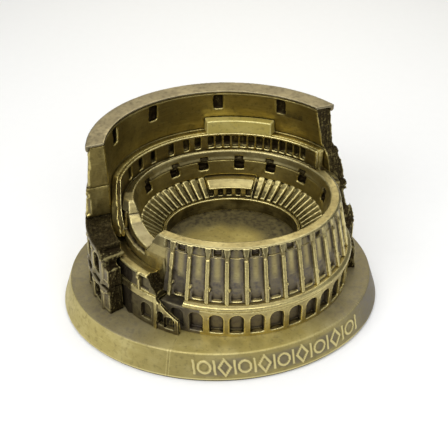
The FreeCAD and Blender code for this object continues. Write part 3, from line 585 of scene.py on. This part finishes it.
def balcony_doors_painted_shade(points, normals):
    """Painted shade in the doorways."""
    p = Round(points, normals, *BALCONY, DRUM)
    return smooth_step((p.off - 0.25) / 0.3) * (p.z < BALCONY_LINTEL)


def balcony_relief(points, normals):
    """Groove under the parapet."""
    p = Round(points, normals, *BALCONY, DRUM)
    groove = -0.25 * between(p.z, BALCONY_LINTEL, 30.2, 0.25) * (p.facing < -0.4)
    return p.out * groove[:, None]


# ---- materials ----------------------------------------------------------------------------------
class Recipe:
    """A material's node tree, built from short calls. Colours are linear RGB."""

    def __init__(self, name):
        self.material = bpy.data.materials.new(name)
        self.material.use_nodes = True
        self.tree = self.material.node_tree
        self.shader = self.tree.nodes["Principled BSDF"]
        self.place = self.tree.nodes.new("ShaderNodeTexCoord").outputs["Object"]

    def link(self, socket, value):
        if isinstance(value, bpy.types.NodeSocket):
            self.tree.links.new(value, socket)
        elif isinstance(value, tuple):
            socket.default_value = value + (1.0,) * (len(socket.default_value) - len(value))
        else:
            socket.default_value = value

    def attribute(self, name):
        node = self.tree.nodes.new("ShaderNodeAttribute")
        node.attribute_name = name
        return node.outputs["Fac"]

    def math(self, operation, a, b=0.0):
        node = self.tree.nodes.new("ShaderNodeMath")
        node.operation = operation
        self.link(node.inputs[0], a)
        self.link(node.inputs[1], b)
        return node.outputs[0]

    def span(self, value, start, end, low=0.0, high=1.0):
        """value eased from start..end to low..high."""
        node = self.tree.nodes.new("ShaderNodeMapRange")
        node.interpolation_type = "SMOOTHSTEP"
        settings = {"Value": value, "From Min": start, "From Max": end, "To Min": low, "To Max": high}
        for key, v in settings.items():
            self.link(node.inputs[key], v)
        return node.outputs[0]

    def mix(self, a, b, factor):
        node = self.tree.nodes.new("ShaderNodeMix")
        node.data_type = "RGBA"
        self.link(node.inputs["Factor"], factor)
        self.link(node.inputs[6], a)
        self.link(node.inputs[7], b)
        return node.outputs[2]

    def noise(self, size, detail=3.0, stretch=(1.0, 1.0, 1.0)):
        """Noise whose features are about size millimetres wide."""
        mapping = self.tree.nodes.new("ShaderNodeMapping")
        self.link(mapping.inputs["Vector"], self.place)
        mapping.inputs["Scale"].default_value = tuple(1.0 / (MM * s) for s in stretch)
        node = self.tree.nodes.new("ShaderNodeTexNoise")
        self.link(node.inputs["Vector"], mapping.outputs[0])
        node.inputs["Scale"].default_value = 1.0 / size
        node.inputs["Detail"].default_value = detail
        node.inputs["Roughness"].default_value = 0.55
        return node.outputs[0]

    def bump(self, height, millimetres, strength=1.0):
        node = self.tree.nodes.new("ShaderNodeBump")
        self.link(node.inputs["Height"], height)
        node.inputs["Distance"].default_value = millimetres * MM
        node.inputs["Strength"].default_value = strength
        self.tree.links.new(node.outputs[0], self.shader.inputs["Normal"])

    def finish(self, colour, roughness, metallic):
        self.link(self.shader.inputs["Base Color"], colour)
        self.link(self.shader.inputs["Roughness"], roughness)
        self.link(self.shader.inputs["Metallic"], metallic)
        return self.material


def antique_brass(name, mid, light, dark, aged_and_shaded, wear=1.0, polish=0.0, satin=0.0, lacquer=0.0):
    """Brass-plated casting: dark wax left in the recesses, rubbed bright on the edges, brushed in places,
    and painted shade where the shade, patina and broken masks carry it.

    lacquer is how far a coat of tinted lacquer hides the bare metal.
    """
    m = Recipe(name)
    edge, hollow = m.attribute("edge"), m.attribute("hollow")
    broken_and_shade, patina_and_shade, shade = m.attribute("broken_and_shade"), m.attribute("patina_and_shade"), m.attribute("shade")
    cloud = m.noise(9.0, 4.0)
    mottle = m.noise(1.3, 4.0)
    speck = m.noise(0.45, 2.0)
    brushed = m.noise(1.0, 3.0, (6.0, 6.0, 0.35))
    colour = m.mix(mid, light, m.math("MULTIPLY", m.span(cloud, 0.42, 0.68), 0.45 + polish))
    colour = m.mix(colour, dark, m.math("MULTIPLY", m.span(mottle, 0.5, 0.75), 0.35))
    colour = m.mix(colour, light, m.math("MULTIPLY", m.span(brushed, 0.52, 0.72), 0.28))
    # painted shade: the shade mask darkens the colour towards a third of the mid colour
    colour = m.mix(colour, tuple(0.35 * c for c in mid), m.math("MULTIPLY", shade, 0.95))
    # patina colour; where a piece's patina mask carries painted shade or painted shadow, this mix paints
    # that shade
    colour = m.mix(colour, aged_and_shaded, m.math("MULTIPLY", patina_and_shade, m.span(mottle, 0.3, 0.7, 1.0, 0.7)))
    recess = m.math("ADD", m.math("MULTIPLY", hollow, 3.2),
                    m.math("MULTIPLY", m.math("SUBTRACT", mottle, 0.5), 0.5))
    colour = m.mix(colour, dark, m.math("MULTIPLY", m.span(recess, 0.08, 0.8), 0.92))
    # dark on broken faces, and painted shade in windows, doorways and behind the colonnade
    colour = m.mix(colour, dark, m.math("MULTIPLY", broken_and_shade, m.span(speck, 0.35, 0.7, 1.0, 0.8)))
    rubbed = m.math("ADD", m.math("MULTIPLY", edge, 22.0),
                    m.math("MULTIPLY", m.math("SUBTRACT", speck, 0.5), 0.7))
    rubbed = m.math("MULTIPLY", m.span(rubbed, 0.15, 0.95), m.span(broken_and_shade, 0.2, 1.0, wear, wear * 0.3))
    rubbed = m.math("MULTIPLY", rubbed, m.span(patina_and_shade, 0.3, 1.0, 1.0, 0.12))
    colour = m.mix(colour, light, rubbed)
    roughness = m.math("ADD", m.span(mottle, 0.3, 0.75, 0.33 + satin, 0.5 + satin),
                       m.math("MULTIPLY", patina_and_shade, 0.06))
    roughness = m.math("ADD", roughness, m.math("MULTIPLY", broken_and_shade, 0.22))
    roughness = m.math("SUBTRACT", roughness, m.math("MULTIPLY", rubbed, 0.1))
    height = m.math("ADD", m.math("MULTIPLY", mottle, 0.6), m.math("MULTIPLY", speck, 0.4))
    m.bump(m.math("ADD", height, m.math("MULTIPLY", brushed, 0.4)), 0.05, 0.6)
    return m.finish(colour, roughness, m.math("SUBTRACT", 1.0 - lacquer, m.math("MULTIPLY", patina_and_shade, 0.25)))


def foam(name):
    m = Recipe(name)
    cells = m.noise(0.5, 3.0)
    m.bump(cells, 0.12)
    return m.finish(m.mix((0.012, 0.012, 0.012), (0.035, 0.034, 0.033), m.span(cells, 0.35, 0.7)), 0.95, 0.0)


def steel(name, tone, bright):
    m = Recipe(name)
    rolled = m.noise(0.8, 3.0, (8.0, 0.3, 1.0))
    stain = m.noise(6.0, 3.0)
    colour = m.mix(tone, bright, m.span(rolled, 0.35, 0.7))
    colour = m.mix(colour, (0.16, 0.14, 0.12), m.math("MULTIPLY", m.span(stain, 0.55, 0.8), 0.4))
    m.bump(rolled, 0.02, 0.5)
    return m.finish(colour, m.span(stain, 0.3, 0.8, 0.28, 0.5), 1.0)


GOLD_LIGHT = (0.63, 0.54, 0.235)
GOLD_MID = (0.25, 0.195, 0.075)
BROWN_DARK = (0.022, 0.015, 0.007)
GREY_AGED_AND_SHADE = (0.105, 0.088, 0.070)

# name, middle, rubbed, recessed and aged colour; the aged colour also paints shade where a patina mask
# carries painted shade
brass = antique_brass("antique_brass", GOLD_MID, GOLD_LIGHT, BROWN_DARK, GREY_AGED_AND_SHADE)
facade_brass = antique_brass("facade_brass", (0.36, 0.295, 0.125), GOLD_LIGHT, BROWN_DARK, GREY_AGED_AND_SHADE,
                             polish=0.2)
bright_brass = antique_brass("rubbed_brass", (0.38, 0.31, 0.13), GOLD_LIGHT, (0.05, 0.037, 0.015), GREY_AGED_AND_SHADE,
                             polish=0.2)
pit_brass = antique_brass("pit_brass", (0.10, 0.078, 0.028), GOLD_LIGHT, BROWN_DARK, GREY_AGED_AND_SHADE)
# The very dark aged colour is painted shade on the middle wall's ground storey, which lies in shadow.
middle_brass_patina_and_shade = antique_brass("middle_brass_patina_and_shade", GOLD_MID, GOLD_LIGHT, BROWN_DARK, (0.045, 0.036, 0.024))
rim_brass = antique_brass("rim_brass", (0.28, 0.23, 0.10), (0.47, 0.405, 0.195), BROWN_DARK, GREY_AGED_AND_SHADE,
                          polish=0.2)
# Painted highlight: the tribune's very bright colour and lacquer stand in for the light on its front face.
tribune_brass_painted_highlight = antique_brass("tribune_brass_painted_highlight", (0.58, 0.48, 0.13), (0.75, 0.66, 0.26), BROWN_DARK, GREY_AGED_AND_SHADE,
                              lacquer=0.6)
# Painted reflection: the plinth's bright mid colour and lacquer give the golden reflection on the front of
# the deck; the plinth's patina mask dulls the rest of the deck.
plinth_brass_painted_reflection = antique_brass("plinth_brass_painted_reflection", (0.43, 0.35, 0.11), GOLD_LIGHT, (0.06, 0.045, 0.022), GREY_AGED_AND_SHADE,
                             wear=0.9, polish=0.1, satin=0.10, lacquer=0.5)
seat_brass = antique_brass("seat_brass", (0.17, 0.138, 0.052), (0.40, 0.34, 0.15), (0.016, 0.011, 0.005),
                           GREY_AGED_AND_SHADE, wear=0.75)
inner_brass = antique_brass("bowl_brass", (0.235, 0.185, 0.062), (0.50, 0.415, 0.155), BROWN_DARK, GREY_AGED_AND_SHADE,
                            wear=0.9)
cap_brass = antique_brass("cap_brass", (0.17, 0.143, 0.085), (0.28, 0.24, 0.145), (0.04, 0.032, 0.018),
                          GREY_AGED_AND_SHADE, wear=0.9)
# Painted light on the arena floor: the bright mid colour is a painted highlight over the middle of the
# floor, and the dark aged colour is the painted shadow round its border.
floor_brass = antique_brass("floor_brass", (0.34, 0.275, 0.09), (0.60, 0.50, 0.18), BROWN_DARK,
                            (0.045, 0.035, 0.018), 0.5, lacquer=0.3)
base_foam = foam("foam")
sheet_steel = steel("steel_sheet", (0.32, 0.32, 0.33), (0.55, 0.55, 0.56))
screw_steel = steel("steel", (0.38, 0.37, 0.36), (0.62, 0.61, 0.60))


# ---- pieces -------------------------------------------------------------------------------------
def plinth_rows():
    """Profile of the plinth from the middle of the deck, over its rounded edge and down its side."""
    foot, top = np.array([55.0, 46.1, low("plinth")]), np.array([52.4, 43.7, DECK])
    edge = 0.8
    deck = [tuple(top[:2] * f) + (DECK,) for f in (0.3, 0.6)]
    deck += [(top[0] - d, top[1] - d, DECK) for d in np.arange(15.0, edge, -0.6)]
    turn = [(top[0] - edge * (1 - math.sin(a)), top[1] - edge * (1 - math.sin(a)),
             DECK - edge * (1 - math.cos(a)))
            for a in np.radians(np.linspace(0, 76, 7))]
    start = np.array(turn[-1])
    side = [tuple(start + (foot - start) * f) for f in np.linspace(0, 1, 32)[1:]]
    recess = (52.7, 43.8)
    cavity = (50.6, 41.8)
    under = [recess + (foot[2],), recess + (foot[2] + 1.0,), cavity + (foot[2] + 1.0,),
             cavity + (DECK - 2.6,), (25.0, 20.0, DECK - 2.6)]
    return deck + turn + side + under


def plinth_place(points, normals):
    c, s = math.cos(math.radians(-PLINTH_TURN)), math.sin(math.radians(-PLINTH_TURN))
    turned = [np.stack([c * v[:, 0] - s * v[:, 1], s * v[:, 0] + c * v[:, 1], v[:, 2]], -1)
              for v in (points, normals)]
    return Round(turned[0], turned[1], (55.0, 46.1, 0.9), (52.4, 43.7, DECK), BASE)


FRIEZE_MIDDLE, FRIEZE_HEIGHT = -71.5, 5.3       # angle and height of the frieze's middle
FRIEZE_PITCH, FRIEZE_HALF = 6.5, 4.5            # length of one figure, and how many figures to each side
SEAMS = (-31.5, -112.0)                         # angles of the mould seams


def ornament(p):
    """Generic frieze on the right front of the plinth's side: rings and lozenges in turn, between bars."""
    along = p.beside(FRIEZE_MIDDLE)
    number = np.round(along / FRIEZE_PITCH)
    u, z = along - number * FRIEZE_PITCH, p.z - FRIEZE_HEIGHT
    ring = np.abs(np.hypot(u, z) - 1.95) - 0.36
    lozenge = np.abs(np.abs(u) / 1.9 + np.abs(z) / 2.7 - 1.0) * 1.5 - 0.36
    bar = np.maximum(np.abs(np.abs(u) - FRIEZE_PITCH / 2) - 0.34, np.abs(z) - 2.5)
    strokes = inside(np.minimum(np.where(number % 2 == 0, ring, lozenge), bar), 0.3)
    band = inside(np.abs(along) - FRIEZE_HALF * FRIEZE_PITCH - 0.4, 0.1) * p.front * (p.off > -3.0)
    return band, band * strokes


def plinth_relief(points, normals):
    """Two mould seams and the raised frieze."""
    p = plinth_place(points, normals)
    seams = sum(inside(np.abs(p.beside(angle)) - 0.12, 0.3) for angle in SEAMS) * (p.off > -14)
    return normals * (0.34 * ornament(p)[1] - 0.12 * seams)[:, None]


def plinth_patina_and_painted_light(points, normals):
    """Patina behind the frieze; painted shade towards the right of the side; dull on the deck away from the
    front, which leaves a painted reflection on the front of the deck.
    """
    p = plinth_place(points, normals)
    band, strokes = ornament(p)
    near = inside(np.abs(p.z - FRIEZE_HEIGHT) - 3.0, 1.5)
    behind = 0.75 * (band * near - strokes) * smooth_step(0.7 + noise(points, 6.0, 3))
    up = smooth_step((normals[:, 2] - 0.6) / 0.3)
    # painted reflection: the deck stays bright only at the front
    dull = 0.8 * up * (1.0 - p.stretch(-118.0, -52.0, 30.0))
    # painted shade on the right of the side
    right = 0.9 * (1.0 - up) * p.stretch(-40.0, 60.0, 34.0) * (1.0 - strokes)
    return np.maximum(np.maximum(behind, dull), right)


def plinth_shade(points, normals):
    """Painted shade: the plinth's side is darker than its deck, but not the raised figures."""
    p = plinth_place(points, normals)
    side = 1.0 - smooth_step((normals[:, 2] - 0.6) / 0.3)
    return side * (0.5 - 0.45 * ornament(p)[1]) * p.stretch(-125.0, 60.0, 40.0)


def tier_rows():
    """Profile of the seating: fine rows up the slope, then over the top and down the skirt to the floor."""
    rings = np.array([(23.5, 18.7, PODIUM_TOP), (26.5, 21.5, 29.3), (30.3, 24.2, TIER_HEAD)])
    slope = [tuple(rings[0] + (rings[1] - rings[0]) * f) for f in np.linspace(0, 1, 15)]
    slope += [tuple(rings[1] + (rings[2] - rings[1]) * f) for f in np.linspace(0, 1, 18)[1:]]
    back = [(32.0, 26.2, TIER_HEAD), (33.7, 28.3, TIER_HEAD), (33.7, 28.3, FLOOR + 5), (33.7, 28.3, FLOOR),
            (31.8, 26.4, FLOOR), (31.4, 26.0, TIER_HEAD - 3.0), (23.6, 18.8, PODIUM_TOP - 1.5)]
    return (slope + back)[::-1]


SEAT_STEP = 360.0 / 60              # angle of one wedge of seats


def tier_relief(points, normals):
    """Wedges of seats: rounded ribs between dark grooves, each with a few worn steps."""
    p = Round(points, normals, (23.5, 18.7, PODIUM_TOP), (30.3, 24.2, TIER_HEAD), DRUM)
    s = ((p.t / SEAT_STEP) % 1.0 - 0.5) * SEAT_STEP * p.speed
    half = 0.5 * SEAT_STEP * p.speed
    groove = inside(half - np.abs(s) - 0.32, 0.4)
    crown = 0.2 * (1.0 - (s / half) ** 2)
    slope = smooth_step((normals[:, 2] - 0.25) / 0.2) * (p.z > PODIUM_TOP + 0.1) * (p.off < 1.2)
    stair = 0.035 * np.sin((p.z - PODIUM_TOP) * 5.2)
    uneven = 0.22 * noise(np.stack([np.floor(p.t / SEAT_STEP) * 7.3, 0 * s, 0 * s], -1), 5.0, 9)
    amount = slope * (crown - 1.05 * groove + stair + 1.3 * uneven * (p.z - PODIUM_TOP) / 5.0)
    return np.stack([0 * amount, 0 * amount, amount], -1)


def tier_shade(points, normals):
    """Painted shade: the seats' lower part is darker."""
    return 0.9 * smooth_step((30.2 - points[:, 2]) / 1.8)


def make_pieces():
    plinth = swept_mesh("plinth", plinth_rows(), np.linspace(0, 360, 901)[:-1], BASE, True, PLINTH_TURN)
    casting("plinth_casting", plinth, plinth_brass_painted_reflection, ["plinth"], plinth_relief, plinth_patina_and_painted_light,
            soften=0, settle=0, grain=0.012, wear_reach=3, shade=plinth_shade)
    tiers = swept_mesh("tiers", tier_rows(), np.linspace(108.7, 433.1, 761), DRUM, False)
    casting("seating_casting", tiers, seat_brass, ["seating_tiers"], tier_relief, soften=0,
            grain=0.04, shade=tier_shade)
    # node, material, voxel size, relief, patina (on some pieces painted shade), broken faces (with painted
    # shade in openings), share of the faces kept
    plain = [
        ("drum_arcade", facade_brass, 0.28, arcade_relief, arcade_patina, arcade_broken, 0.6),
        ("drum_string_course", bright_brass, 0.28, None, nothing, nothing, 0.6),
        ("drum_upper_storey", facade_brass, 0.26, storey_relief, storey_patina, storey_broken, 0.55),
        ("drum_rim", rim_brass, 0.24, rim_relief, rim_patina, rim_windows_painted_shade, 0.6),
        ("arena_floor", floor_brass, 0.4, None, floor_painted_shadow, nothing, 0.5),
        ("podium_wall", pit_brass, 0.26, None, nothing, nothing, 0.5),
        ("balcony", bright_brass, 0.2, balcony_relief, nothing, balcony_doors_painted_shade, 0.7),
        ("bowl_wall", inner_brass, 0.28, bowl_relief, nothing, bowl_windows_painted_shade, 0.5),
        ("middle_arcade", middle_brass_patina_and_shade, 0.24, middle_relief, middle_painted_shade, middle_broken_and_painted_shade, 0.6),
        ("middle_string_course", bright_brass, 0.22, None, nothing, middle_broken_and_painted_shade, 0.6),
        ("middle_upper_storey", middle_brass_patina_and_shade, 0.22, middle_storey_relief, middle_storey_patina,
         middle_broken_and_painted_shade, 0.6),
        ("outer_arcade", brass, 0.34, outer_relief(0, (2.3, 11.6, 18.2), 0.3), outer_patina(0),
         broken_ends, 0.6),
        ("outer_second_storey", brass, 0.32, outer_relief(1, (2.1, 23.6, 30.4), 0.3), outer_patina(1),
         broken_ends, 0.6),
        ("outer_third_storey", inner_brass, 0.34, outer_relief(2, (2.0, 35.0, 42.0), 0.3), outer_patina(2),
         broken_ends, 0.6),
        ("outer_attic", inner_brass, 0.34, outer_relief(3, (1.2, 50.0, 53.4), 0.2), outer_patina(3),
         attic_painted_shade_and_broken_ends, 0.6),
        ("cornice", cap_brass, 0.26, None, nothing, nothing, 0.6),
        ("gallery_colonnade", brass, 0.26, None, nothing, end_broken, 0.5),
        ("gallery_body", inner_brass, 0.42, None, nothing, body_broken_and_painted_shade, 0.5),
        ("tribune", tribune_brass_painted_highlight, 0.26, None, nothing, nothing, 0.6),
    ]
    for node, material, voxel, detail, patina_and_shade, broken_and_shade, keep in plain:
        joints = (low(node), high(node)) if node.startswith("outer") else ()
        joints = (STOREY_HEAD,) if node in ("drum_upper_storey", "drum_rim", "bowl_wall") else joints
        shade = rim_shade if node == "drum_rim" else nothing
        casting(node + "_casting", even_mesh(node, voxel), material, [node], detail, patina_and_shade, broken_and_shade,
                keep=keep, joints=joints, shade=shade)


def dress_cad_nodes():
    """Pieces whose CAD shape is right keep it and get a finish."""
    looks = {"base_pad": base_foam, "bottom_cover": sheet_steel,
             "cover_screws": screw_steel, "drum_screws": screw_steel, "wall_screws": screw_steel,
             "locating_pins": screw_steel}
    for node, material in looks.items():
        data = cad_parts[node].data
        data.materials.clear()
        data.materials.append(material)


# ---- studio -------------------------------------------------------------------------------------
def area_light(name, place, target, size, watts, colour=(1.0, 1.0, 1.0)):
    data = bpy.data.lights.new(name, "AREA")
    data.shape = "RECTANGLE"
    data.size, data.size_y = size[0] * MM, size[1] * MM
    data.energy = watts
    data.color = colour
    light = bpy.data.objects.new(name, data)
    bpy.context.scene.collection.objects.link(light)
    light.location = Vector(place) * MM
    light.rotation_euler = (Vector(target) - Vector(place)).to_track_quat("-Z", "Y").to_euler()


def studio():
    scene = bpy.context.scene
    world = bpy.data.worlds.new("studio")
    world.use_nodes = True
    tree = world.node_tree
    tree.nodes["Background"].inputs[0].default_value = (0.90, 0.94, 1.0, 1.0)
    tree.nodes["Background"].inputs[1].default_value = 0.24
    scene.world = world
    middle = (1.0, 0.0, 25.0)
    area_light("key", (-260, -230, 330), middle, (260, 200), 0.75)
    area_light("top", (30, 120, 420), middle, (420, 320), 0.85)
    area_light("right", (330, -120, 160), middle, (160, 240), 0.10)
    area_light("back", (20, 330, 270), middle, (300, 150), 0.36, (1.0, 0.93, 0.72))
    area_light("front", (20, -300, 360), middle, (460, 220), 1.15)

    floor = bpy.data.meshes.new("floor")
    half = 4000 * MM
    corners = [(-half, -half, 0), (half, -half, 0), (half, half, 0), (-half, half, 0)]
    floor.from_pydata(corners, [], [(0, 1, 2, 3)])
    paper = Recipe("paper")
    grain = paper.noise(4.0)
    floor.materials.append(paper.finish(paper.mix((0.88, 0.88, 0.88), (0.9, 0.9, 0.9), grain), 0.9, 0.0))
    ground = bpy.data.objects.new("floor", floor)
    scene.collection.objects.link(ground)

    camera_data = bpy.data.cameras.new("camera")
    camera_data.lens = 78.12
    camera_data.sensor_width = 36.0
    camera_data.clip_start = 0.01
    camera = bpy.data.objects.new("camera", camera_data)
    scene.collection.objects.link(camera)
    target, elevation, distance = Vector((1.18, 0.0, 28.6)), math.radians(36.66), 330.0
    back = Vector((0.0, -math.cos(elevation), math.sin(elevation)))
    camera.location = (target + back * distance) * MM
    camera.rotation_euler = (-back).to_track_quat("-Z", "Y").to_euler()
    scene.camera = camera
    scene.view_settings.view_transform = "Standard"


make_pieces()
dress_cad_nodes()
studio()
